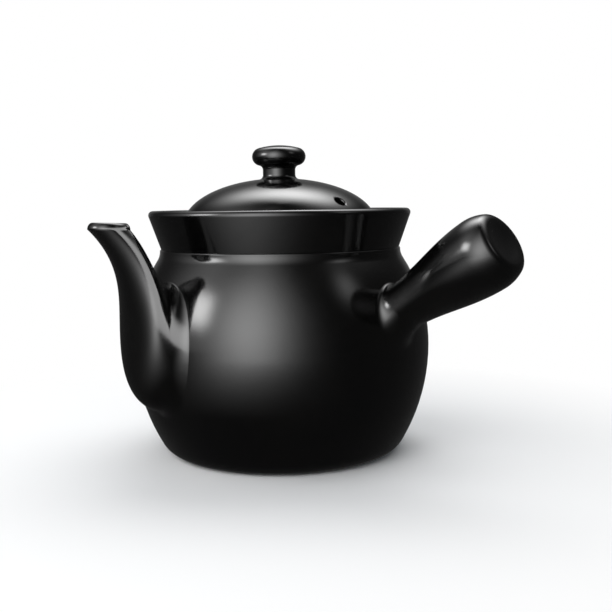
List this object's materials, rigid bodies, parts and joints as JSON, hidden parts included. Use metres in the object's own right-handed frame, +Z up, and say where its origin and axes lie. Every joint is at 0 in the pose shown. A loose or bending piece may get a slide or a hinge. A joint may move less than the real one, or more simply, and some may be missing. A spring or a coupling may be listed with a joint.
{
  "type": "herbal medicine pot",
  "caption": "Round dark-glazed stoneware decoction pot with a flared collar, a bent spout over a pierced strainer, a hollow side handle and a loose domed lid with a knob and a steam vent.",
  "frame": {"origin": "centre of the foot, on the ground", "axes": "+Z up along the vessel's axis, the spout points to -X, and the handle points nearly to -Y, 100 degrees from the spout as seen from above"},
  "size_m": [0.208, 0.2369, 0.1773],
  "materials": {
    "body_glaze": "dark glossy glaze on stoneware",
    "spout_glaze": "dark glossy glaze on stoneware",
    "handle_glaze": "dark glossy glaze on stoneware",
    "lid_glaze": "dark glossy glaze on stoneware",
    "knob_glaze": "dark glossy glaze on stoneware"
  },
  "bodies": {
    "pot": {"pot_body": "body_glaze", "spout": "spout_glaze", "handle": "handle_glaze"},
    "lid": {"lid": "lid_glaze", "lid_knob": "knob_glaze"}
  },
  "joints": [
    {"name": "lid_lift", "type": "slide", "parent": "pot", "child": "lid", "axis": [0, 0, 1], "range_m": [0, 0.08]}
  ]
}
